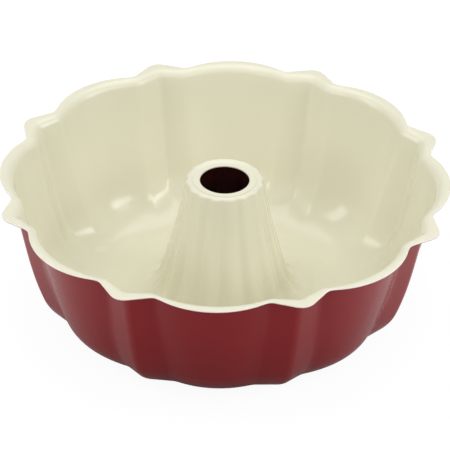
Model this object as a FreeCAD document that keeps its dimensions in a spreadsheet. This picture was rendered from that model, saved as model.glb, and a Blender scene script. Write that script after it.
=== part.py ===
import FreeCAD, Part
import math
import os

import Sketcher
from FreeCAD import Placement, Rotation, Vector

# Fluted tube cake pan, in millimetres.
#
# The origin is the centre of the flat face that the pan rests on, and +Z points up through the centre
# tube. One disc of sheet steel is drawn into the whole shape: flange, fluted wall, rounded corner, flat
# land, flaring foot, tube and the flat ring on top of the tube. A cream ceramic lining covers the food
# side and wraps the cut edges, and a red enamel covers the outside and the underside.
#
# A lobe is centred on each half of the X and Y axes, and a pointed rib stands halfway between two lobes.
# "Level" is a height above the pan's outside skin, measured along the skin's normal towards the food:
# level 0 is the outside of the enamel, and the lining's food face is at the full sheet thickness.

DIMENSIONS = (
    ("overall_height", 84.3, "resting face to the top of the flange"),
    ("lobe_count", 8, "lobes, and ribs between them"),
    ("flange_lobe_centre", 79.6, "axis to the centre of a flange lobe's arc"),
    ("flange_lobe_radius", 45.55, "arc of the flange round a lobe"),
    ("flange_tip_reach", 127.0, "axis to the tip of a flange ear"),
    ("flange_tip_radius", 8.4, "rounding of an ear's tip"),
    ("flange_flank_slope", 36.1, "an ear's flank to the tangent at its tip, degrees"),
    ("flange_valley_radius", 6.1, "hollow between an ear and a lobe"),
    ("wall_lobe_centre", 64.3, "axis to the centre of a lobe's arc, at the top of the wall"),
    ("wall_lobe_radius", 54.0, "arc of the wall round a lobe, at the top of the wall"),
    ("wall_tip_reach", 118.1, "axis to the crest of a rib, at the top of the wall"),
    ("wall_tip_radius", 6.5, "rounding of a rib's crest"),
    ("wall_flank_slope", 23.8, "a rib's flank to the tangent at its crest, degrees"),
    ("wall_valley_radius", 8.5, "hollow between a rib and a lobe"),
    ("rib_growth", 2.1, "how much more a rib stands out at the foot of the wall than at its top"),
    ("wall_top_lean", 9.7, "top of the wall to the vertical, degrees"),
    ("wall_foot_lean", 19.0, "foot of the wall to the vertical, degrees"),
    ("bend_radius", 4.5, "outside of the bend from the flange into the wall"),
    ("corner_radius", 35.5, "outside of the corner from the wall into the land"),
    ("flute_fade", 1.9, "power by which the lobes and ribs die out round the corner"),
    ("foot_radius", 25.0, "food side of the flare from the land into the tube"),
    ("tube_top_lean", 9.8, "top of the tube's side to the vertical, degrees"),
    ("tube_foot_lean", 15.6, "foot of the tube's side to the vertical, degrees"),
    ("tube_top_drop", 2.5, "top of the flange down to the flat ring round the hole"),
    ("tube_top_radius", 21.4, "food side of the tube where its rounded top edge starts"),
    ("shoulder_radius", 2.0, "rounding of the tube's top edge"),
    ("lip_rise", 0.8, "crest of the rounded edge above the flat ring"),
    ("lip_width", 2.45, "crest of the rounded edge in to the flat ring"),
    ("hole_radius", 13.8, "finished hole in the top of the tube"),
    ("ridge_count", 16, "ridges round the tube"),
    ("ridge_height", 2.0, "crest to hollow of a ridge at the foot of the tube"),
    ("ridge_top_share", 0.35, "share of the ridge height that is left at the top of the tube"),
    ("enamel_thickness", 0.2, "red coat"),
    ("steel_thickness", 0.6, "sheet"),
    ("lining_thickness", 0.2, "cream coat"),
    ("blank_radius", 140.0, "flange before it is trimmed"),
    ("cutter_margin", 5.0, "how far a cutter starts clear of the sheet"),
)

# Rows of points that a spline follows down each strip of the skin.
BEND_ROWS = 9
WALL_ROWS = 11
CORNER_ROWS = 15
FOOT_ROWS = 13
TUBE_ROWS = 11
SHOULDER_ROWS = 9
LIP_ROWS = 9

# Steps between points round the pan: on a rib's tip, flank, valley and lobe, and on a ridge of the tube.
PLAN_STEPS = (5, 4, 7, 7)
RIDGE_STEPS = 16

DERIVATIVE_STEP = 1e-4
SEWING_TOLERANCE = 1e-4
UPWARDS = Vector(0, 0, 1)


def make_sheet(document):
    """Driving dimensions: a note in column A, the plain number and its alias in column B."""
    sheet = document.addObject("Spreadsheet::Sheet", "Dimensions")
    for row, (alias, value, note) in enumerate(DIMENSIONS, start=1):
        sheet.set(f"A{row}", note)
        sheet.set(f"B{row}", str(value))
        sheet.setAlias(f"B{row}", alias)
    document.recompute()
    return sheet


def read_sizes(sheet):
    """The sheet's values by alias, with the few lengths that follow from them."""
    size = {alias: float(getattr(sheet, alias)) for alias, _, _ in DIMENSIONS}
    size["sheet_thickness"] = size["enamel_thickness"] + size["steel_thickness"] + size["lining_thickness"]
    size["tube_top_height"] = size["overall_height"] - size["tube_top_drop"]
    size["half_sector"] = math.pi / size["lobe_count"]
    return size


# ---------------------------------------------------------------- plan outlines


class Outline:
    """Half of one scallop in plan, from the axis of a rib (local +X) to the crest of the next lobe.

    It is a tip arc, a straight flank, a hollow valley arc and a lobe arc, each tangent to the next. The
    inset draws the whole outline in, and the growth moves only the tip out.
    """

    def __init__(self, size, edge, inset=0.0, growth=0.0):
        self.half_sector = size["half_sector"]
        self.slope = math.radians(size[edge + "_flank_slope"])
        self.tip_radius = size[edge + "_tip_radius"] - inset
        self.valley_radius = size[edge + "_valley_radius"] + inset
        self.lobe_radius = size[edge + "_lobe_radius"] - inset
        self.tip_centre = Vector(size[edge + "_tip_reach"] + growth - size[edge + "_tip_radius"], 0, 0)
        self.lobe_centre = polar(size[edge + "_lobe_centre"], self.half_sector)

        normal = polar(1.0, self.slope)
        along = polar(1.0, self.slope + math.pi / 2)
        self.flank_distance = self.tip_centre.dot(normal) + self.tip_radius
        across = self.flank_distance + self.valley_radius - self.lobe_centre.dot(normal)
        between = self.lobe_radius + self.valley_radius
        run = self.lobe_centre.dot(along) - math.sqrt(between**2 - across**2)
        self.valley_centre = normal * (self.flank_distance + self.valley_radius) + along * run

        self.tip_end = self.tip_centre + normal * self.tip_radius
        self.flank_end = self.valley_centre - normal * self.valley_radius
        to_valley = (self.valley_centre - self.lobe_centre).normalize()
        self.lobe_start = self.lobe_centre + to_valley * self.lobe_radius
        self.crest = self.lobe_centre + polar(self.lobe_radius, self.half_sector)

    def breaks(self):
        """Angles at which one piece of the outline gives way to the next."""
        joins = [angle_of(point) for point in (self.tip_end, self.flank_end, self.lobe_start)]
        return [0.0] + joins + [self.half_sector]

    def reach(self, angle):
        """Distance from the pan's axis to the outline, at an angle from the rib's axis."""
        tip_end, flank_end, lobe_start = self.breaks()[1:4]
        if angle < tip_end:
            return far_crossing(self.tip_centre, self.tip_radius, angle)
        if angle < flank_end:
            return self.flank_distance / math.cos(angle - self.slope)
        if angle < lobe_start:
            return near_crossing(self.valley_centre, self.valley_radius, angle)
        return far_crossing(self.lobe_centre, self.lobe_radius, angle)


def polar(radius, angle, height=0.0):
    return Vector(radius * math.cos(angle), radius * math.sin(angle), height)


def angle_of(point):
    return math.atan2(point.y, point.x)


def far_crossing(centre, radius, angle):
    """Where a ray from the pan's axis leaves a circle."""
    offset = angle - angle_of(centre)
    return centre.Length * math.cos(offset) + half_chord(centre, radius, offset)


def near_crossing(centre, radius, angle):
    """Where a ray from the pan's axis enters a circle."""
    offset = angle - angle_of(centre)
    return centre.Length * math.cos(offset) - half_chord(centre, radius, offset)


def half_chord(centre, radius, offset):
    return math.sqrt(max(radius**2 - (centre.Length * math.sin(offset)) ** 2, 0.0))


# ---------------------------------------------------------------- the drawn skin
#
# A strip is one band of the outside skin: a function of the angle round the pan and of a fraction along
# the band. Its section is an arc, moved in and out by the flutes of the wall or the ridges of the tube.


class SideArc:
    """Section of a side as a shallow arc that leans more at its foot, measured from its top."""

    def __init__(self, top_lean, foot_lean, top_height, foot_height):
        self.top_lean = top_lean
        self.foot_lean = foot_lean
        self.top_height = top_height
        self.radius = (top_height - foot_height) / (math.sin(foot_lean) - math.sin(top_lean))

    def at(self, fraction):
        """How far the side has moved sideways, and its height, part of the way down."""
        lean = self.top_lean + (self.foot_lean - self.top_lean) * fraction
        shift = self.radius * (math.cos(self.top_lean) - math.cos(lean))
        return shift, self.top_height - self.radius * (math.sin(lean) - math.sin(self.top_lean))


def wall_strips(size):
    """Bend, wall and corner of the outside skin, from the flange down to the land."""
    top_lean = math.radians(size["wall_top_lean"])
    foot_lean = math.radians(size["wall_foot_lean"])
    bend, corner = size["bend_radius"], size["corner_radius"]
    bend_height = size["overall_height"] - size["sheet_thickness"] - bend
    side_top = bend_height + bend * math.sin(top_lean)
    side = SideArc(top_lean, foot_lean, side_top, corner - corner * math.sin(foot_lean))

    top_outline = Outline(size, "wall")
    foot_outline = Outline(size, "wall", growth=size["rib_growth"])
    crest = top_outline.crest.Length
    bend_centre = crest + bend * math.cos(top_lean)
    land_radius = crest - side.at(1.0)[0] - corner * math.cos(foot_lean)

    def flute(angle, growth):
        """Reach beyond a plain round wall. The ribs stand out more as growth goes from 0 to 1."""
        from_rib = abs(angle - size["half_sector"])
        top = top_outline.reach(from_rib)
        return top + (foot_outline.reach(from_rib) - top) * growth - crest

    def bend_point(angle, fraction):
        turn = fraction * (math.pi / 2 - top_lean)
        radius = bend_centre - bend * math.sin(turn) + flute(angle, 0.0)
        return polar(radius, angle, bend_height + bend * math.cos(turn))

    def wall_point(angle, fraction):
        shift, height = side.at(fraction)
        return polar(crest - shift + flute(angle, eased(fraction)), angle, height)

    def corner_point(angle, fraction):
        dip = foot_lean + fraction * (math.pi / 2 - foot_lean)
        fluting = faded(fraction, size["flute_fade"]) * flute(angle, 1.0)
        return polar(land_radius + corner * math.cos(dip) + fluting, angle, corner - corner * math.sin(dip))

    return ((bend_point, BEND_ROWS), (wall_point, WALL_ROWS), (corner_point, CORNER_ROWS))


def tube_strips(size):
    """Foot, side, shoulder and lip of the tube's underside, from the land up to the flat ring."""
    top_lean = math.radians(size["tube_top_lean"])
    foot_lean = math.radians(size["tube_foot_lean"])
    foot = size["foot_radius"] + size["sheet_thickness"]
    shoulder = size["shoulder_radius"] - size["sheet_thickness"]
    shoulder_height = size["tube_top_height"] + size["lip_rise"] - size["shoulder_radius"]
    shoulder_centre = size["tube_top_radius"] - size["shoulder_radius"] * math.cos(top_lean)
    side_top = shoulder_height + shoulder * math.sin(top_lean)
    side = SideArc(top_lean, foot_lean, side_top, foot - foot * math.sin(foot_lean))
    side_radius = shoulder_centre + shoulder * math.cos(top_lean)
    land_radius = side_radius + side.at(1.0)[0] + foot * math.cos(foot_lean)
    top_share = size["ridge_top_share"]

    def ridge(angle):
        return -size["ridge_height"] / 2 * math.cos(size["ridge_count"] * angle)

    def foot_point(angle, fraction):
        dip = math.pi / 2 - fraction * (math.pi / 2 - foot_lean)
        radius = land_radius - foot * math.cos(dip) + faded(1 - fraction) * ridge(angle)
        return polar(radius, angle, foot - foot * math.sin(dip))

    def side_point(angle, fraction):
        shift, height = side.at(1 - fraction)
        share = 1 + (top_share - 1) * eased(fraction)
        return polar(side_radius + shift + share * ridge(angle), angle, height)

    def shoulder_point(angle, fraction):
        rise = top_lean + fraction * (math.pi / 2 - top_lean)
        radius = shoulder_centre + shoulder * math.cos(rise) + top_share * faded(fraction) * ridge(angle)
        return polar(radius, angle, shoulder_height + shoulder * math.sin(rise))

    def lip_point(angle, fraction):
        drop = size["lip_rise"] * eased(fraction)
        return polar(shoulder_centre - size["lip_width"] * fraction, angle, shoulder_height + shoulder - drop)

    return (
        (foot_point, FOOT_ROWS),
        (side_point, TUBE_ROWS),
        (shoulder_point, SHOULDER_ROWS),
        (lip_point, LIP_ROWS),
    )


def eased(fraction):
    """From 0 to 1, starting and ending gently."""
    return (1 - math.cos(fraction * math.pi)) / 2


def faded(fraction, power=1.0):
    """Share of a flute's depth that is left part of the way round an arc: all of it, dying out smoothly."""
    return max(math.cos(fraction * math.pi / 2), 0.0) ** power


def lifted(strip, angle, fraction, level):
    """The skin's point moved by level along its normal, towards the food."""
    along = strip(angle, fraction + DERIVATIVE_STEP) - strip(angle, fraction - DERIVATIVE_STEP)
    around = strip(angle + DERIVATIVE_STEP, fraction) - strip(angle - DERIVATIVE_STEP, fraction)
    return strip(angle, fraction) + around.cross(along).normalize() * level


# ---------------------------------------------------------------- surfaces and sheets


def wall_angles(size):
    """Angles across one sector, closer together where the outline turns tightly."""
    breaks = Outline(size, "wall").breaks()
    half = [0.0]
    for start, end, count in zip(breaks, breaks[1:], PLAN_STEPS):
        half += [start + (end - start) * step / count for step in range(1, count + 1)]
    centre = size["half_sector"]
    return [centre - angle for angle in reversed(half)] + [centre + angle for angle in half[1:]]


def tube_angles(size):
    """Even angles across one sector, enough to follow each ridge."""
    steps = round(RIDGE_STEPS * size["ridge_count"] / size["lobe_count"])
    return [2 * size["half_sector"] * step / steps for step in range(steps + 1)]


def spline_through(points, parameters):
    curve = Part.BSplineCurve()
    curve.interpolate(Points=points, Parameters=parameters)
    return curve


def strip_face(strip, rows, angles, level):
    """One sector of a strip as a spline face. Strips that share a row of points share its exact curve."""
    fractions = [row / (rows - 1) for row in range(rows)]
    across = [spline_through([lifted(strip, angle, fraction, level) for angle in angles], angles)
              for fraction in fractions]
    columns = zip(*(curve.getPoles() for curve in across))
    along = [spline_through(list(column), fractions) for column in columns]
    surface = Part.BSplineSurface()
    surface.buildFromPolesMultsKnots(
        [curve.getPoles() for curve in along],
        across[0].getMultiplicities(), along[0].getMultiplicities(),
        across[0].getKnots(), along[0].getKnots(), False, False, across[0].Degree, along[0].Degree)
    return surface.toShape()


def ring_edges(strip, fraction, angles, level, count):
    """A closed ring of edges along one end of a strip."""
    points = [lifted(strip, angle, fraction, level) for angle in angles]
    edge = spline_through(points, angles).toShape()
    return Part.Wire(spread(edge, count))


def spread(shape, count):
    """Copies of a sector's shape, turned round the pan's axis."""
    copies = []
    for index in range(count):
        copy = shape.copy()
        copy.rotate(Vector(), UPWARDS, 360.0 / count * index)
        copies.append(copy)
    return copies


def flat_face(*wires):
    return Part.makeFace(list(wires), "Part::FaceMakerBullseye")


def circle_wire(radius, height):
    return Part.Wire(Part.Circle(Vector(0, 0, height), UPWARDS, radius).toShape())


def skin_faces(size, level):
    """Every face of the drawn shape at one level, from the blank's edge to the middle of the tube's top."""
    count = round(size["lobe_count"])
    wall, tube = wall_strips(size), tube_strips(size)
    around_wall, around_tube = wall_angles(size), tube_angles(size)
    faces = []
    for strips, angles in ((wall, around_wall), (tube, around_tube)):
        for strip, rows in strips:
            faces += spread(strip_face(strip, rows, angles, level), count)

    flange_height = size["overall_height"] - size["sheet_thickness"] + level
    flange_inside = ring_edges(wall[0][0], 0.0, around_wall, level, count)
    land_outside = ring_edges(wall[-1][0], 1.0, around_wall, level, count)
    land_inside = ring_edges(tube[0][0], 0.0, around_tube, level, count)
    tube_top = ring_edges(tube[-1][0], 1.0, around_tube, level, count)
    faces.append(flat_face(circle_wire(size["blank_radius"], flange_height), flange_inside))
    faces.append(flat_face(land_outside, land_inside))
    faces.append(flat_face(tube_top))
    return faces


def drawn_sheet(size, low, high):
    """Closed solid between two levels, with a round flange and no hole in the tube."""
    base = size["overall_height"] - size["sheet_thickness"] + low
    cylinder = Part.makeCylinder(size["blank_radius"], high - low, Vector(0, 0, base))
    edge = [face for face in cylinder.Faces if isinstance(face.Surface, Part.Cylinder)]
    faces = Part.Compound(skin_faces(size, low) + skin_faces(size, high) + edge)
    faces.sewShape(SEWING_TOLERANCE)
    solid = Part.Solid(faces.Shells[0])
    if solid.Volume < 0:
        solid.reverse()
    return solid


# ---------------------------------------------------------------- sketches


class SectorSketch:
    """Sketch of one sector of the flange, with the rib's axis along the sketch's X axis."""

    ORIGIN = (-1, 1)
    X_AXIS = -1
    START, END, CENTRE = 1, 2, 3

    def __init__(self, body, name, height):
        self.sketch = body.newObject("Sketcher::SketchObject", name)
        self.sketch.AttachmentSupport = [(origin_feature(body, "XY_Plane"), "")]
        self.sketch.MapMode = "FlatFace"
        self.sketch.setExpression(".AttachmentOffset.Base.z", height)
        self.sketch.setExpression(".AttachmentOffset.Rotation.Angle", "180 / Dimensions.lobe_count")

    def add(self, geometry, construction=False):
        return self.sketch.addGeometry(geometry, construction)

    def constrain(self, kind, *references):
        return self.sketch.addConstraint(Sketcher.Constraint(kind, *references))

    def size(self, kind, references, value, expression):
        """A dimension that follows the sheet."""
        index = self.constrain(kind, *references, value)
        self.sketch.setExpression(f"Constraints[{index}]", expression)

    def add_arc(self, centre, radius, start, end):
        circle = Part.Circle(centre, UPWARDS, radius)
        return self.add(Part.ArcOfCircle(circle, angle_of(start - centre), angle_of(end - centre)))

    def add_side(self, outline, side):
        """Flank, valley and lobe on one side of the rib; side is 1 above its axis and -1 below."""

        def place(point):
            return Vector(point.x, side * point.y, 0)

        flank = self.add(Part.LineSegment(place(outline.tip_end), place(outline.flank_end)))
        valley_ends = [outline.lobe_start, outline.flank_end][::side]
        valley = self.add_arc(place(outline.valley_centre), outline.valley_radius, *map(place, valley_ends))
        lobe_ends = [outline.lobe_start, outline.crest][::side]
        lobe = self.add_arc(place(outline.lobe_centre), outline.lobe_radius, *map(place, lobe_ends))
        ray = self.add(Part.LineSegment(Vector(), place(outline.crest)), True)
        near, far = (self.START, self.END)[::side]
        self.constrain("Tangent", flank, self.END, valley, far)
        self.constrain("Tangent", valley, near, lobe, near)
        self.constrain("Coincident", ray, self.START, *self.ORIGIN)
        self.constrain("Coincident", ray, self.END, lobe, far)
        self.constrain("PointOnObject", lobe, self.CENTRE, ray)
        self.size("Angle", (flank,), side * (math.pi / 2 + outline.slope),
                  f"{side} * (90 + Dimensions.flange_flank_slope)")
        return flank, valley, lobe, far

    def add_outline(self, outline, inset):
        """The flange's edge across the sector, drawn in by the inset. Returns its two ends."""
        tip_low = Vector(outline.tip_end.x, -outline.tip_end.y, 0)
        tip = self.add_arc(outline.tip_centre, outline.tip_radius, tip_low, outline.tip_end)
        upper_flank, upper_valley, upper_lobe, upper_far = self.add_side(outline, 1)
        lower_flank, lower_valley, lower_lobe, lower_far = self.add_side(outline, -1)
        self.constrain("Tangent", tip, self.END, upper_flank, self.START)
        self.constrain("Tangent", tip, self.START, lower_flank, self.START)
        self.constrain("PointOnObject", tip, self.CENTRE, self.X_AXIS)
        self.constrain("Equal", upper_valley, lower_valley)
        self.constrain("Equal", upper_lobe, lower_lobe)
        self.constrain("Symmetric", upper_lobe, self.CENTRE, lower_lobe, self.CENTRE, self.X_AXIS)
        self.size("DistanceX", (*self.ORIGIN, tip, self.CENTRE), outline.tip_centre.x,
                  "Dimensions.flange_tip_reach - Dimensions.flange_tip_radius")
        self.size("DistanceX", (*self.ORIGIN, upper_lobe, self.CENTRE), outline.lobe_centre.x,
                  "Dimensions.flange_lobe_centre * cos(180deg / Dimensions.lobe_count)")
        self.size("DistanceY", (*self.ORIGIN, upper_lobe, self.CENTRE), outline.lobe_centre.y,
                  "Dimensions.flange_lobe_centre * sin(180deg / Dimensions.lobe_count)")
        self.size("Radius", (tip,), outline.tip_radius, f"Dimensions.flange_tip_radius - {inset}")
        self.size("Radius", (upper_valley,), outline.valley_radius,
                  f"Dimensions.flange_valley_radius + {inset}")
        self.size("Radius", (upper_lobe,), outline.lobe_radius, f"Dimensions.flange_lobe_radius - {inset}")
        return (upper_lobe, upper_far), (lower_lobe, lower_far)

    def end_point(self, end):
        return self.sketch.getPoint(*end)

    def close_outside(self, size, ends):
        """Radial lines and an outer arc that close the waste outside the outline."""
        radius = size["blank_radius"] + size["cutter_margin"]
        outer_ends = [polar(radius, -size["half_sector"]), polar(radius, size["half_sector"])]
        outer = self.add_arc(Vector(), radius, *outer_ends)
        self.constrain("Coincident", outer, self.CENTRE, *self.ORIGIN)
        self.size("Radius", (outer,), radius, "Dimensions.blank_radius + Dimensions.cutter_margin")
        for end, outer_end, position in zip(ends, (self.END, self.START), reversed(outer_ends)):
            line = self.add(Part.LineSegment(self.end_point(end), position))
            self.constrain("Coincident", line, self.START, *end)
            self.constrain("Coincident", line, self.END, outer, outer_end)
            self.constrain("PointOnObject", *self.ORIGIN, line)

    def join_ends(self, outer_ends, inner_ends):
        """Short lines that close the band between two outlines."""
        for outer, inner in zip(outer_ends, inner_ends):
            line = self.add(Part.LineSegment(self.end_point(outer), self.end_point(inner)))
            self.constrain("Coincident", line, self.START, *outer)
            self.constrain("Coincident", line, self.END, *inner)


def origin_feature(body, role):
    return next(item for item in body.Origin.OriginFeatures if item.Role == role)


def circle_sketch(body, name, height, radii):
    """Concentric circles round the pan's axis, at radii given as expressions."""
    sketch = body.newObject("Sketcher::SketchObject", name)
    sketch.AttachmentSupport = [(origin_feature(body, "XY_Plane"), "")]
    sketch.MapMode = "FlatFace"
    sketch.setExpression(".AttachmentOffset.Base.z", height)
    origin = SectorSketch.ORIGIN
    for radius in radii:
        circle = sketch.addGeometry(Part.Circle(Vector(), UPWARDS, 1.0), False)
        sketch.addConstraint(Sketcher.Constraint("Coincident", circle, SectorSketch.CENTRE, *origin))
        index = sketch.addConstraint(Sketcher.Constraint("Radius", circle, 1.0))
        sketch.setExpression(f"Constraints[{index}]", radius)
    return sketch


# ---------------------------------------------------------------- features

FLANGE_TOP = "Dimensions.overall_height"
TUBE_TOP = "(Dimensions.overall_height - Dimensions.tube_top_drop)"
SHEET = "(Dimensions.enamel_thickness + Dimensions.steel_thickness + Dimensions.lining_thickness)"
CUTTER_DEPTH = f"2 * Dimensions.cutter_margin + {SHEET}"


def cut_down(body, name, sketch, depth):
    """Pocket that goes down from its sketch. It has to take material away."""
    sketch.Document.recompute()
    before = body.Shape.Volume
    pocket = body.newObject("PartDesign::Pocket", name)
    pocket.Profile = sketch
    pocket.setExpression("Length", depth)
    body.Document.recompute()
    if not body.Shape.Volume < before:
        raise RuntimeError(f"{name} cuts nothing")
    return pocket


def pad_down(body, name, sketch, depth):
    """Pad that goes down from its sketch."""
    pad = body.newObject("PartDesign::Pad", name)
    pad.Profile = sketch
    pad.Reversed = True
    pad.setExpression("Length", depth)
    body.Document.recompute()
    return pad


def repeat_round(body, name, feature):
    """The feature repeated once for each lobe."""
    pattern = body.newObject("PartDesign::PolarPattern", name)
    pattern.Originals = [feature]
    pattern.Axis = (origin_feature(body, "Z_Axis"), [""])
    pattern.Angle = 360
    pattern.setExpression("Occurrences", "Dimensions.lobe_count")
    body.Tip = pattern
    body.Document.recompute()
    return pattern


def sheet_body(document, size, label, low, high):
    """Body that starts from the drawn sheet between two levels."""
    name = "".join(word.capitalize() for word in label.split("_"))
    blank = document.addObject("Part::Feature", name + "Blank")
    blank.Shape = drawn_sheet(size, low, high)
    body = document.addObject("PartDesign::Body", name)
    body.Label = label
    body.BaseFeature = blank
    body.Placement = Placement(Vector(), Rotation())
    document.recompute()
    return body


def trim_flange(body, size, inset_length, inset):
    """Cut the round flange back to the scalloped outline."""
    trim = SectorSketch(body, "TrimSketch", f"{FLANGE_TOP} + Dimensions.cutter_margin")
    ends = trim.add_outline(Outline(size, "flange", inset_length), inset)
    trim.close_outside(size, ends)
    repeat_round(body, "TrimAllRound", cut_down(body, "Trim", trim.sketch, CUTTER_DEPTH))


def pierce_tube(body, radius):
    """Open the top of the tube."""
    sketch = circle_sketch(body, "HoleSketch", f"{TUBE_TOP} + Dimensions.cutter_margin", [radius])
    cut_down(body, "TubeHole", sketch, CUTTER_DEPTH)


def wrap_edges(body, size):
    """Carry the lining down over the cut edges of the steel, at the flange and at the hole."""
    edge = SectorSketch(body, "FlangeWrapSketch", f"{FLANGE_TOP} - Dimensions.lining_thickness")
    outer = edge.add_outline(Outline(size, "flange"), "0")
    steel_edge = Outline(size, "flange", size["lining_thickness"])
    inner = edge.add_outline(steel_edge, "Dimensions.lining_thickness")
    edge.join_ends(outer, inner)
    flange = pad_down(body, "FlangeWrap", edge.sketch, "Dimensions.steel_thickness")
    repeat_round(body, "FlangeWrapAllRound", flange)

    radii = ["Dimensions.hole_radius", "Dimensions.hole_radius + Dimensions.lining_thickness"]
    ring = circle_sketch(body, "HoleWrapSketch", f"{TUBE_TOP} - Dimensions.lining_thickness", radii)
    pad_down(body, "HoleWrap", ring, "Dimensions.steel_thickness")


# ---------------------------------------------------------------- pieces


def make_enamel(document, size):
    """Red coat on the outside and underside."""
    body = sheet_body(document, size, "exterior_enamel", 0.0, size["enamel_thickness"])
    trim_flange(body, size, 0.0, "0")
    pierce_tube(body, "Dimensions.hole_radius")
    return body


def make_steel(document, size):
    """The drawn sheet. Its cut edges stand back by the lining that wraps them."""
    low = size["enamel_thickness"]
    body = sheet_body(document, size, "steel_shell", low, low + size["steel_thickness"])
    trim_flange(body, size, size["lining_thickness"], "Dimensions.lining_thickness")
    pierce_tube(body, "Dimensions.hole_radius + Dimensions.lining_thickness")
    return body


def make_lining(document, size):
    """Cream coat on the food side, the flange and the ring on top of the tube."""
    high = size["sheet_thickness"]
    body = sheet_body(document, size, "ceramic_lining", high - size["lining_thickness"], high)
    trim_flange(body, size, 0.0, "0")
    pierce_tube(body, "Dimensions.hole_radius")
    wrap_edges(body, size)
    return body


def check(document, bodies):
    """Stop unless every object recomputed and every piece is one closed, valid solid."""
    for item in document.Objects:
        if "Invalid" in item.State or "Error" in item.State:
            raise RuntimeError(f"{item.Name} failed: {item.State}")
        if item.isDerivedFrom("Sketcher::SketchObject") and not item.FullyConstrained:
            raise RuntimeError(f"{item.Name} is not fully constrained")
    for body in bodies:
        shape = body.Shape
        if shape.isNull() or not shape.isValid() or len(shape.Solids) != 1:
            raise RuntimeError(f"{body.Label} is not one valid solid")


def main():
    document = FreeCAD.newDocument("BundtPan")
    size = read_sizes(make_sheet(document))
    bodies = [make(document, size) for make in (make_enamel, make_steel, make_lining)]
    document.recompute()
    check(document, bodies)
    os.makedirs("parts", exist_ok=True)
    for body in bodies:
        body.Shape.exportStep(f"parts/{body.Label}.step")
        print(body.Label, round(body.Shape.Volume), "mm3", len(body.Shape.Faces), "faces")


main()
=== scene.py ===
import math

import bpy
import numpy as np
from mathutils import Matrix, Vector


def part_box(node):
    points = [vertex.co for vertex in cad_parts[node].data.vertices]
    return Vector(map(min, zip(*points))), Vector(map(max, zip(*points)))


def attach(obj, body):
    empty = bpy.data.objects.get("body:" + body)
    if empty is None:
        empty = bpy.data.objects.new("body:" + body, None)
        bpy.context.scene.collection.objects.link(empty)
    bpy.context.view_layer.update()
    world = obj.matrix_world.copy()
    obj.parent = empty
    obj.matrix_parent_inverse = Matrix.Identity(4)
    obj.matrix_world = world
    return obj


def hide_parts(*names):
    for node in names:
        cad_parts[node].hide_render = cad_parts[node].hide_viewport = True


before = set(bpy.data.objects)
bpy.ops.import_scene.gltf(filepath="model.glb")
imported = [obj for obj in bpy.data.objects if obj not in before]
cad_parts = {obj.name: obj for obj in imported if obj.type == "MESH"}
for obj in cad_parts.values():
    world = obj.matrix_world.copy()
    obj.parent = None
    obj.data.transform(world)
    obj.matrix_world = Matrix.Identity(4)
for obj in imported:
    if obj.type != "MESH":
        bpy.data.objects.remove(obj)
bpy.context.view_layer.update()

# The pan stands on z = 0 with its axis on Z. A lobe is centred on each half of the X and Y axes, and a
# pointed rib stands halfway between two lobes. Lengths are in metres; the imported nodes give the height,
# the reach of a lobe and the thickness of each coat, and the other sizes are set out in millimetres.
# "Level" is a height above the outside skin, along its normal: 0 is the enamel's outside, and SHEET, the
# thickness of the steel with both coats, is the lining's food face.

MM = 0.001
LINING_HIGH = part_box("ceramic_lining")[1]
STEEL_LOW, STEEL_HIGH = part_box("steel_shell")
ENAMEL_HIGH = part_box("exterior_enamel")[1]
HEIGHT = LINING_HIGH.z
LINING = HEIGHT - STEEL_HIGH.z
ENAMEL = STEEL_LOW.z
SHEET = HEIGHT - ENAMEL_HIGH.z + ENAMEL

LOBES = 8
SECTOR = 2 * math.pi / LOBES
HALF_SECTOR = SECTOR / 2
FLANGE = {"lobe_centre": 79.6 * MM, "lobe_radius": LINING_HIGH.x - 79.6 * MM, "tip_reach": 127.0 * MM,
          "tip_radius": 8.4 * MM, "flank_slope": math.radians(36.1), "valley_radius": 6.1 * MM}
WALL = {"lobe_centre": 64.3 * MM, "lobe_radius": 54.0 * MM, "tip_reach": 118.1 * MM,
        "tip_radius": 6.5 * MM, "flank_slope": math.radians(23.8), "valley_radius": 8.5 * MM}
RIB_GROWTH = 2.1 * MM
WALL_TOP_LEAN = math.radians(9.7)
WALL_FOOT_LEAN = math.radians(19.0)
BEND = 4.5 * MM
CORNER = 35.5 * MM
FLUTE_FADE = 1.9
TUBE_TOP = HEIGHT - 2.5 * MM
TUBE_TOP_RADIUS = 21.4 * MM
TUBE_TOP_LEAN = math.radians(9.8)
TUBE_FOOT_LEAN = math.radians(15.6)
FOOT = 25.0 * MM
SHOULDER = 2.0 * MM
LIP_RISE = 0.8 * MM
LIP_WIDTH = 2.45 * MM
HOLE = 13.8 * MM
RIDGES = 16
RIDGE_HEIGHT = 2.0 * MM
RIDGE_TOP_SHARE = 0.35
EDGE_ROUNDING = 0.3 * MM

# Spans between columns of the mesh on a rib's tip, flank, valley and lobe.
COLUMN_SPANS = (8, 5, 9, 10)

# Spans between rows: down the bend, wall and corner, over the land, and up the foot, tube, shoulder and lip.
FINE = {"down": (9, 12, 26), "land": 2, "up": (22, 12, 8, 8)}
COARSE = {"down": (5, 6, 14), "land": 1, "up": (12, 6, 4, 4)}

# A step to either side of a point, in radians or in a strip's fraction, to find the skin's slope there.
DERIVATIVE_STEP = 1e-4

# Two rows of points that are this close are the same row.
SAME_PLACE = 1e-8


# ---------------------------------------------------------------- shape


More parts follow.
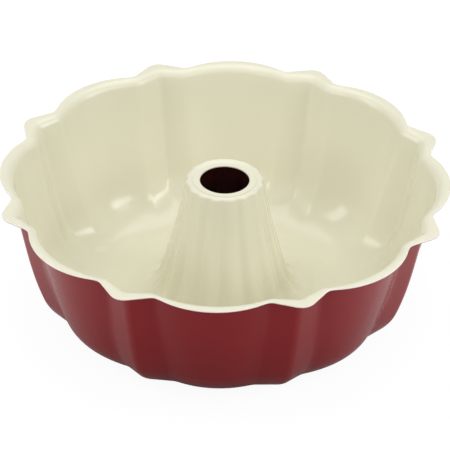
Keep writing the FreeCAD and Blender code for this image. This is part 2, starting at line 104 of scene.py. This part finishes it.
class Outline:
    """Scalloped plan outline: a rib's tip arc, a straight flank, a hollow valley arc and a lobe arc.

    It is worked out on complex numbers, with the rib's tip on the real axis. The flank touches the tip and
    the valley, and the valley touches the lobe.
    """

    def __init__(self, edge, inset=0.0):
        self.slope = edge["flank_slope"]
        self.tip_radius = edge["tip_radius"] - inset
        self.valley_radius = edge["valley_radius"] + inset
        self.lobe_radius = edge["lobe_radius"] - inset
        self.tip_centre = complex(edge["tip_reach"] - edge["tip_radius"], 0)
        self.lobe_centre = edge["lobe_centre"] * np.exp(1j * HALF_SECTOR)
        normal = np.exp(1j * self.slope)

        # The flank is a straight line at this distance from the axis, square to its normal.
        self.flank = self.tip_centre.real * math.cos(self.slope) + self.tip_radius

        # The valley's centre is a valley radius beyond the flank, and touching radii away from the lobe's.
        turned = self.lobe_centre / normal
        across = self.flank + self.valley_radius - turned.real
        between = self.lobe_radius + self.valley_radius
        run = turned.imag - math.sqrt(between**2 - across**2)
        self.valley_centre = normal * complex(self.flank + self.valley_radius, run)

        # Angles from the rib's crest at which one stretch gives way to the next.
        to_valley = (self.valley_centre - self.lobe_centre) / between
        joins = (self.tip_centre + normal * self.tip_radius,
                 self.valley_centre - normal * self.valley_radius,
                 self.lobe_centre + to_valley * self.lobe_radius)
        self.joins = [float(np.angle(join)) for join in joins]

    def reach(self, angles):
        """Distance from the axis to the outline, at angles round the pan."""
        from_rib = np.abs(np.mod(angles, SECTOR) - HALF_SECTOR)
        pieces = (ray_to_circle(self.tip_centre, self.tip_radius, from_rib),
                  self.flank / np.cos(from_rib - self.slope),
                  ray_to_circle(self.valley_centre, -self.valley_radius, from_rib))
        lobe = ray_to_circle(self.lobe_centre, self.lobe_radius, from_rib)
        return np.select([from_rib < join for join in self.joins], pieces, lobe)


def ray_to_circle(centre, radius, angles):
    """Where a ray from the axis leaves a circle, or enters it if the radius is given as negative."""
    offset = angles - np.angle(centre)
    chord = radius**2 - (abs(centre) * np.sin(offset)) ** 2
    return abs(centre) * np.cos(offset) + math.copysign(1, radius) * np.sqrt(np.maximum(chord, 0))


WALL_OUTLINE = Outline(WALL)
WALL_FOOT_OUTLINE = Outline(dict(WALL, tip_reach=WALL["tip_reach"] + RIB_GROWTH))
CREST = WALL["lobe_centre"] + WALL["lobe_radius"]


class SideArc:
    """Section of a side as a shallow arc that leans more at its foot; radii are taken from its top."""

    def __init__(self, top_lean, foot_lean, top_height, foot_height):
        self.top_lean = top_lean
        self.foot_lean = foot_lean
        self.top_height = top_height
        self.radius = (top_height - foot_height) / (math.sin(foot_lean) - math.sin(top_lean))
        self.shift = self.radius * (math.cos(top_lean) - math.cos(foot_lean))

    def at(self, fraction):
        """How far the side has moved sideways, and its height, part of the way down."""
        lean = self.top_lean + (self.foot_lean - self.top_lean) * fraction
        shift = self.radius * (math.cos(self.top_lean) - np.cos(lean))
        return shift, self.top_height - self.radius * (np.sin(lean) - math.sin(self.top_lean))


# The outside skin in section: where the wall's and the tube's sides start and end, and the land's edges.
BEND_HEIGHT = HEIGHT - SHEET - BEND
WALL_TOP = BEND_HEIGHT + BEND * math.sin(WALL_TOP_LEAN)
WALL_FOOT = CORNER - CORNER * math.sin(WALL_FOOT_LEAN)
WALL_ARC = SideArc(WALL_TOP_LEAN, WALL_FOOT_LEAN, WALL_TOP, WALL_FOOT)
OUTER_LAND = CREST - WALL_ARC.shift - CORNER * math.cos(WALL_FOOT_LEAN)

SKIN_FOOT = FOOT + SHEET
SKIN_SHOULDER = SHOULDER - SHEET
SHOULDER_CENTRE = TUBE_TOP_RADIUS - SHOULDER * math.cos(TUBE_TOP_LEAN)
SHOULDER_HEIGHT = TUBE_TOP + LIP_RISE - SHOULDER
TUBE_SIDE_TOP = SHOULDER_HEIGHT + SKIN_SHOULDER * math.sin(TUBE_TOP_LEAN)
TUBE_SIDE_FOOT = SKIN_FOOT - SKIN_FOOT * math.sin(TUBE_FOOT_LEAN)
TUBE_SIDE_RADIUS = SHOULDER_CENTRE + SKIN_SHOULDER * math.cos(TUBE_TOP_LEAN)
TUBE_ARC = SideArc(TUBE_TOP_LEAN, TUBE_FOOT_LEAN, TUBE_SIDE_TOP, TUBE_SIDE_FOOT)
INNER_LAND = TUBE_SIDE_RADIUS + TUBE_ARC.shift + SKIN_FOOT * math.cos(TUBE_FOOT_LEAN)


def column_angles():
    """Angles of the mesh's columns, closer together where the outline turns tightly."""
    breaks = [0.0] + WALL_OUTLINE.joins + [HALF_SECTOR]
    half = np.concatenate([np.linspace(start, end, spans, endpoint=False)
                           for start, end, spans in zip(breaks, breaks[1:], COLUMN_SPANS)])
    one_sector = np.concatenate([HALF_SECTOR - np.append(half, HALF_SECTOR)[::-1], HALF_SECTOR + half[1:]])
    return np.concatenate([one_sector + SECTOR * index for index in range(LOBES)])


def faded(fraction, power=1.0):
    """Share of a flute's depth left part of the way round an arc."""
    return np.maximum(np.cos(fraction * math.pi / 2), 0) ** power


def eased(fraction):
    """From 0 to 1, starting and ending gently."""
    return (1 - np.cos(fraction * math.pi)) / 2


def flute(angles, growth):
    """The flutes' reach beyond a plain round wall; the ribs stand out more as growth goes from 0 to 1."""
    top = WALL_OUTLINE.reach(angles)
    return top + (WALL_FOOT_OUTLINE.reach(angles) - top) * growth - CREST


def ridge(angles):
    """Reach of the tube's ridges at their deepest, with a hollow on each half of the X and Y axes."""
    return -RIDGE_HEIGHT / 2 * np.cos(RIDGES * angles)


def bend(angles, fraction):
    """Outside skin where the flange turns down into the wall."""
    turn = fraction * (math.pi / 2 - WALL_TOP_LEAN)
    centre = CREST + BEND * math.cos(WALL_TOP_LEAN)
    return centre - BEND * np.sin(turn) + flute(angles, 0.0), BEND_HEIGHT + BEND * np.cos(turn)


def wall(angles, fraction):
    """Outside skin of the fluted wall."""
    shift, height = WALL_ARC.at(fraction)
    return CREST - shift + flute(angles, eased(fraction)), height


def corner(angles, fraction):
    """Outside skin where the wall rounds into the land, and the flutes die out."""
    dip = WALL_FOOT_LEAN + fraction * (math.pi / 2 - WALL_FOOT_LEAN)
    radius = OUTER_LAND + CORNER * np.cos(dip) + faded(fraction, FLUTE_FADE) * flute(angles, 1.0)
    return radius, CORNER - CORNER * np.sin(dip)


def foot(angles, fraction):
    """Underside of the flare from the land up into the tube."""
    dip = math.pi / 2 - fraction * (math.pi / 2 - TUBE_FOOT_LEAN)
    radius = INNER_LAND - SKIN_FOOT * np.cos(dip) + faded(1 - fraction) * ridge(angles)
    return radius, SKIN_FOOT - SKIN_FOOT * np.sin(dip)


def tube_side(angles, fraction):
    """Underside of the ridged tube."""
    shift, height = TUBE_ARC.at(1 - fraction)
    share = 1 + (RIDGE_TOP_SHARE - 1) * eased(fraction)
    return TUBE_SIDE_RADIUS + shift + share * ridge(angles), height


def shoulder(angles, fraction):
    """Underside of the tube's rounded top edge, where the ridges die out."""
    rise = TUBE_TOP_LEAN + fraction * (math.pi / 2 - TUBE_TOP_LEAN)
    ridges = RIDGE_TOP_SHARE * faded(fraction) * ridge(angles)
    radius = SHOULDER_CENTRE + SKIN_SHOULDER * np.cos(rise) + ridges
    return radius, SHOULDER_HEIGHT + SKIN_SHOULDER * np.sin(rise)


def lip(angles, fraction):
    """Underside of the step from the rounded edge down to the flat ring; it is the same at all angles."""
    drop = LIP_RISE * eased(fraction)
    return SHOULDER_CENTRE - LIP_WIDTH * fraction, SHOULDER_HEIGHT + SKIN_SHOULDER - drop


def points(angles, radius, height):
    """Points from polar places, as an array whose last axis is x, y and z."""
    radius, height, angles = np.broadcast_arrays(radius, height, angles)
    return np.stack([radius * np.cos(angles), radius * np.sin(angles), height], axis=-1)


def strip_rows(strip, spans, level, angles):
    """Rows of points down a strip of the outside skin, lifted by level towards the food."""

    def skin(turn, step):
        moved = angles[None, :] + turn
        return points(moved, *strip(moved, fractions + step))

    fractions = np.linspace(0, 1, spans + 1)[:, None]
    around = skin(DERIVATIVE_STEP, 0) - skin(-DERIVATIVE_STEP, 0)
    along = skin(0, DERIVATIVE_STEP) - skin(0, -DERIVATIVE_STEP)
    normal = np.cross(around, along)
    normal /= np.linalg.norm(normal, axis=-1, keepdims=True)
    return skin(0, 0) + normal * level


def skin_rows(level, spans, angles):
    """Rows at one level: down the bend, wall and corner, over the land and up to the lip of the tube."""
    down = [strip_rows(strip, count, level, angles)
            for strip, count in zip((bend, wall, corner), spans["down"])]
    up = [strip_rows(strip, count, level, angles)
          for strip, count in zip((foot, tube_side, shoulder, lip), spans["up"])]
    return stack(*down, bridge(down[-1][-1], up[0][0], spans["land"]), *up)


def edge_row(inset, height, angles):
    """A row along the flange's cut edge, drawn in by the inset."""
    return points(angles, Outline(FLANGE, inset).reach(angles), height)


def hole_row(clearance, height, angles):
    """A row round the hole in the tube's top, drawn out by the clearance."""
    return points(angles, HOLE + clearance, height)


def bridge(start, end, spans):
    """Rows between two rows, without the rows themselves."""
    steps = np.linspace(0, 1, spans + 1)[1:-1, None, None]
    return start + (end - start) * steps


def rounded_edge(row, top, angles, spans=4):
    """Rows from a face at height top, round the corner and on to the cut edge below it."""
    turns = np.linspace(0, math.pi / 2, spans + 1)
    return [row(EDGE_ROUNDING * (1 - math.sin(turn)), top - EDGE_ROUNDING * (1 - math.cos(turn)), angles)
            for turn in turns]


def stack(*groups):
    """One array of rows from rows and groups of rows, with no row given twice."""
    rows = []
    for group in groups:
        group = np.asarray(group)
        for row in (group if group.ndim == 3 else group[None]):
            if not rows or np.abs(row - rows[-1]).max() > SAME_PLACE:
                rows.append(row)
    return np.array(rows)


def grid_mesh(name, rows):
    """Closed mesh over a grid of points that joins up both round the pan and round its section."""
    row_count, column_count = rows.shape[:2]
    index = np.arange(row_count * column_count).reshape(row_count, column_count)
    below = np.roll(index, -1, axis=0)
    faces = np.stack([index, below, np.roll(below, -1, axis=1), np.roll(index, -1, axis=1)], axis=-1)
    mesh = bpy.data.meshes.new(name)
    mesh.from_pydata(rows.reshape(-1, 3).tolist(), [], faces.reshape(-1, 4).tolist())
    mesh.shade_smooth()
    piece = bpy.data.objects.new(name, mesh)
    bpy.context.scene.collection.objects.link(piece)
    return piece


def make_lining(angles):
    """Cream coat: food side, flange top and tube ring, wrapped down over the steel's cut edges."""
    food = skin_rows(SHEET, FINE, angles)
    back = skin_rows(SHEET - LINING, COARSE, angles)
    wrap = SHEET - ENAMEL
    edge_top = rounded_edge(edge_row, HEIGHT, angles)
    hole_top = rounded_edge(hole_row, TUBE_TOP, angles)
    front = stack(
        edge_row(0, HEIGHT - wrap, angles),
        edge_row(0, HEIGHT - wrap / 2, angles),
        edge_top[::-1],
        bridge(edge_top[0], food[0], 4),
        food,
        bridge(food[-1], hole_top[0], 4),
        hole_top,
        hole_row(0, TUBE_TOP - wrap / 2, angles),
        hole_row(0, TUBE_TOP - wrap, angles))
    inside_edge = edge_row(LINING, HEIGHT - LINING, angles)
    inside_hole = hole_row(LINING, TUBE_TOP - LINING, angles)
    rear = stack(
        edge_row(LINING, HEIGHT - wrap, angles),
        inside_edge,
        bridge(inside_edge, back[0], 2),
        back,
        bridge(back[-1], inside_hole, 2),
        inside_hole,
        hole_row(LINING, TUBE_TOP - wrap, angles))
    return grid_mesh("lining_coat", stack(front, rear[::-1]))


def make_enamel(angles):
    """Red coat: outside of the wall, underside of the flange and floor, and inside of the tube."""
    outside = skin_rows(0.0, FINE, angles)
    back = skin_rows(ENAMEL, COARSE, angles)
    flange_low = HEIGHT - SHEET
    ring_low = TUBE_TOP - SHEET
    edge_low = edge_row(ENAMEL / 4, flange_low, angles)
    edge_high = edge_row(0, flange_low + ENAMEL, angles)
    hole_low = hole_row(ENAMEL / 4, ring_low, angles)
    hole_high = hole_row(0, ring_low + ENAMEL, angles)
    front = stack(
        edge_high,
        edge_row(0, flange_low + ENAMEL / 2, angles),
        edge_low,
        bridge(edge_low, outside[0], 4),
        outside,
        bridge(outside[-1], hole_low, 4),
        hole_low,
        hole_row(0, ring_low + ENAMEL / 2, angles),
        hole_high)
    rear = stack(bridge(edge_high, back[0], 3), back, bridge(back[-1], hole_high, 3))
    return grid_mesh("enamel_coat", stack(front[::-1], rear))


# ---------------------------------------------------------------- materials


class Shader:
    """A material's node tree, with short calls for the nodes that the finishes share."""

    def __init__(self, name):
        self.material = bpy.data.materials.new(name)
        self.material.use_nodes = True
        self.nodes = self.material.node_tree.nodes
        self.links = self.material.node_tree.links
        self.surface = self.nodes["Principled BSDF"]
        self.place = self.nodes.new("ShaderNodeTexCoord").outputs["Object"]

    def set(self, **values):
        """Plain values for the surface's inputs; an underscore stands for a space in an input's name."""
        for name, value in values.items():
            self.surface.inputs[name.replace("_", " ")].default_value = value

    def noise(self, scale, detail):
        """Soft patches from 0 to 1, about as many to a metre as the scale says."""
        node = self.nodes.new("ShaderNodeTexNoise")
        node.inputs["Scale"].default_value = scale
        node.inputs["Detail"].default_value = detail
        self.links.new(self.place, node.inputs["Vector"])
        return node.outputs["Fac"]

    def remap(self, value, low, high, start=0.0, end=1.0):
        """Low while the value is start or less, high once it is end or more, and spread between them."""
        node = self.nodes.new("ShaderNodeMapRange")
        node.inputs["From Min"].default_value = start
        node.inputs["From Max"].default_value = end
        node.inputs["To Min"].default_value = low
        node.inputs["To Max"].default_value = high
        self.links.new(value, node.inputs["Value"])
        return node.outputs["Result"]

    def mix(self, factor, first, second):
        """A colour between first and second, each of which is a colour or a socket."""
        node = self.nodes.new("ShaderNodeMix")
        node.data_type = "RGBA"
        self.links.new(factor, node.inputs["Factor"])
        for socket, colour in (("A", first), ("B", second)):
            if isinstance(colour, tuple):
                node.inputs[socket].default_value = colour + (1.0,)
            else:
                self.links.new(colour, node.inputs[socket])
        return node.outputs[2]

    def vector(self, operation, first, second=None):
        """Vector arithmetic on a socket and, if there is one, a second socket or a constant."""
        node = self.nodes.new("ShaderNodeVectorMath")
        node.operation = operation
        self.links.new(first, node.inputs[0])
        if isinstance(second, tuple):
            node.inputs[1].default_value = second
        elif second is not None:
            self.links.new(second, node.inputs[1])
        return node.outputs["Value" if operation in ("LENGTH", "DOT_PRODUCT") else "Vector"]

    def distance_from(self, x, y):
        """Distance in plan from the upright line through x and y."""
        offset = self.vector("SUBTRACT", self.place, (x, y, 0))
        return self.vector("LENGTH", self.vector("MULTIPLY", offset, (1, 1, 0)))

    def facing_out(self):
        """How squarely the surface faces away from the axis, from -1 to 1."""
        outwards = self.vector("NORMALIZE", self.vector("MULTIPLY", self.place, (1, 1, 0)))
        normal = self.nodes.new("ShaderNodeNewGeometry").outputs["Normal"]
        return self.vector("DOT_PRODUCT", normal, outwards)

    def product(self, first, second):
        """First times second."""
        node = self.nodes.new("ShaderNodeMath")
        node.operation = "MULTIPLY"
        self.links.new(first, node.inputs[0])
        self.links.new(second, node.inputs[1])
        return node.outputs["Value"]

    def bump(self, height, distance, below=None):
        """Normals for a relief of up to distance, laid over the relief below if there is one."""
        node = self.nodes.new("ShaderNodeBump")
        node.inputs["Distance"].default_value = distance
        node.inputs["Strength"].default_value = 1.0
        self.links.new(height, node.inputs["Height"])
        if below is not None:
            self.links.new(below, node.inputs["Normal"])
        return node.outputs["Normal"]

    def drive(self, name, value):
        """Join a socket to one of the surface's inputs."""
        self.links.new(value, self.surface.inputs[name])


def cream_ceramic():
    """Cream glaze, with a painted highlight along the flange's cut edge: a paler, pinker line for the light
    the rounded edge catches and the red enamel it reflects.
    """
    shader = Shader("cream_ceramic")
    glaze = shader.mix(shader.noise(18, 3), (0.76, 0.738, 0.578), (0.80, 0.782, 0.625))
    # Painted highlight and reflection: where the lining faces out past the wall, on the cut edge, the glaze
    # is mixed to a pale pink.
    beyond_wall = shader.remap(shader.distance_from(0, 0), 0.0, 1.0, CREST - 1.5 * MM, CREST + 0.5 * MM)
    facing_out = shader.remap(shader.facing_out(), 0.0, 1.0, 0.5, 0.9)
    painted_edge_highlight = shader.product(beyond_wall, facing_out)
    shader.drive("Base Color", shader.mix(painted_edge_highlight, glaze, (0.97, 0.86, 0.82)))
    shader.drive("Roughness", shader.remap(shader.noise(35, 2), 0.12, 0.16))
    peel = shader.bump(shader.noise(420, 1.5), 0.02 * MM)
    shader.drive("Normal", shader.bump(shader.noise(22, 1), 0.12 * MM, below=peel))
    return shader.material


def red_enamel():
    """Dark red enamel, with painted shade up inside the tube, where little light gets in."""
    shader = Shader("red_enamel")
    outside = shader.mix(shader.noise(15, 3), (0.238, 0.012, 0.0145), (0.268, 0.015, 0.0175))
    # Painted shade: near the axis, inside the tube and its flare, the enamel is mixed to near black for
    # light that does not reach there.
    past_tube = shader.remap(shader.distance_from(0, 0), 0.0, 1.0, 25 * MM, 55 * MM)
    shader.drive("Base Color", shader.mix(past_tube, (0.07, 0.010, 0.009), outside))
    shader.drive("Roughness", shader.remap(shader.noise(40, 2), 0.20, 0.28))
    shader.set(Specular_IOR_Level=0.38)
    peel = shader.bump(shader.noise(480, 1.5), 0.02 * MM)
    shader.drive("Normal", shader.bump(shader.noise(24, 1), 0.12 * MM, below=peel))
    return shader.material


def sheet_steel():
    """Cold-rolled steel with a fine grain."""
    shader = Shader("sheet_steel")
    shader.set(Metallic=1.0)
    grain = shader.noise(300, 4)
    shader.drive("Base Color", shader.mix(grain, (0.50, 0.50, 0.51), (0.60, 0.60, 0.61)))
    shader.drive("Roughness", shader.remap(grain, 0.32, 0.48))
    shader.drive("Normal", shader.bump(grain, 0.01 * MM))
    return shader.material


def seen_by_camera(nodes):
    """1 for what the camera sees directly, and 0 for what lights the pan or shows in its gloss."""
    return nodes.new("ShaderNodeLightPath").outputs["Is Camera Ray"]


def pale_floor():
    """White to the camera with a faint shadow. To the pan it is a grey sheet with a painted shadow, darker
    just in front of it.
    """
    shader = Shader("pale_floor")
    # Painted shadow: the floor that lights the pan and shows in its gloss is darker just in front of it, for
    # the shade under the pan.
    from_front = shader.distance_from(0, -160 * MM)
    away = shader.remap(from_front, 0.0, 1.0, 50 * MM, 210 * MM)
    floor_with_painted_shadow = shader.mix(away, (0.33, 0.33, 0.33), (0.95, 0.95, 0.95))
    seen = seen_by_camera(shader.nodes)
    shader.drive("Base Color", shader.mix(seen, floor_with_painted_shadow, (0.10, 0.10, 0.10)))
    shader.drive("Emission Strength", shader.remap(seen, 0.0, 0.93))
    shader.set(Roughness=0.8, Specular_IOR_Level=0.0, Emission_Color=(1, 1, 1, 1))
    return shader.material


def paint(piece, material):
    """Give a piece this material and no other."""
    piece.data.materials.clear()
    piece.data.materials.append(material)


# ---------------------------------------------------------------- studio


def make_floor():
    reach = 30.0
    corners = [(-reach, -reach, 0), (reach, -reach, 0), (reach, reach, 0), (-reach, reach, 0)]
    mesh = bpy.data.meshes.new("floor")
    mesh.from_pydata(corners, [], [(0, 1, 2, 3)])
    floor = bpy.data.objects.new("floor", mesh)
    bpy.context.scene.collection.objects.link(floor)
    paint(floor, pale_floor())


def make_world(strength):
    """White to the camera, and an even grey glow of the given strength to the pan."""
    world = bpy.data.worlds.new("studio")
    world.use_nodes = True
    nodes = world.node_tree.nodes
    links = world.node_tree.links
    background = nodes["Background"]
    background.inputs["Color"].default_value = (1, 1, 1, 1)
    level = nodes.new("ShaderNodeMapRange")
    level.inputs["To Min"].default_value = strength
    level.inputs["To Max"].default_value = 1.0
    links.new(seen_by_camera(nodes), level.inputs["Value"])
    links.new(level.outputs["Result"], background.inputs["Strength"])
    bpy.context.scene.world = world


def aimed(position, target):
    """Turned so that local -Z points from position to target, with local Y as near to up as it can be."""
    position = Vector(position)
    turn = (Vector(target) - position).to_track_quat("-Z", "Y")
    return Matrix.Translation(position) @ turn.to_matrix().to_4x4()


# Soft panels, all turned to the middle of the pan: name, place, width, height and power in watts.
PANELS = (
    ("left", (-0.9, -0.15, 0.55), 0.3, 0.75, 2.25),
    ("right", (0.9, -0.15, 0.55), 0.3, 0.75, 1.15),
    ("top", (0, 0.2, 1.3), 1.2, 1.2, 7.55),
    ("front", (0, -1.0, 0.9), 1.2, 0.8, 1.5),
    ("right_window", (0.785, -0.40, 0.61), 0.95, 0.22, 2.35),
    ("left_window", (-0.59, -0.81, 0.51), 0.26, 0.22, 0.95),
)


def make_lights():
    middle = (0, 0, HEIGHT / 2)
    for name, place, width, height, power in PANELS:
        data = bpy.data.lights.new(name, "AREA")
        data.shape = "RECTANGLE"
        data.size = width
        data.size_y = height
        data.energy = power
        panel = bpy.data.objects.new(name, data)
        panel.matrix_world = aimed(place, middle)
        bpy.context.scene.collection.objects.link(panel)


def make_camera():
    """Long lens, looking down on the pan from in front, a little to the right of a lobe.

    The camera's place is measured from the middle of the rim. Its lens and sensor are in millimetres.
    """
    azimuth = math.radians(2.87)
    distance = 1019 * MM
    rise = 676.4 * MM
    aim_right = 0.5 * MM
    aim_below_rim = 33.3 * MM
    roll = math.radians(0.71)
    rim = Vector((0, 0, HEIGHT))
    right = Vector((math.cos(azimuth), math.sin(azimuth), 0))
    back = Vector((math.sin(azimuth), -math.cos(azimuth), 0))
    up = Vector((0, 0, 1))
    position = rim + back * distance + up * rise
    aim = rim + right * aim_right - up * aim_below_rim
    data = bpy.data.cameras.new("camera")
    data.sensor_width = 36
    data.lens = 176.2
    data.clip_start = 0.05
    camera = bpy.data.objects.new("camera", data)
    camera.matrix_world = aimed(position, aim) @ Matrix.Rotation(roll, 4, "Z")
    bpy.context.scene.collection.objects.link(camera)
    bpy.context.scene.camera = camera


# ---------------------------------------------------------------- build


def make_coat(piece, material, node):
    """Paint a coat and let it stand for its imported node."""
    paint(piece, material)
    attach(piece, "root")
    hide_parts(node)


def build_pan():
    angles = column_angles()
    lining = make_lining(angles)
    enamel = make_enamel(angles)
    make_coat(lining, cream_ceramic(), "ceramic_lining")
    make_coat(enamel, red_enamel(), "exterior_enamel")
    paint(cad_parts["steel_shell"], sheet_steel())


build_pan()
make_floor()
make_world(strength=0.43)
make_lights()
make_camera()
bpy.context.scene.view_settings.view_transform = "Standard"
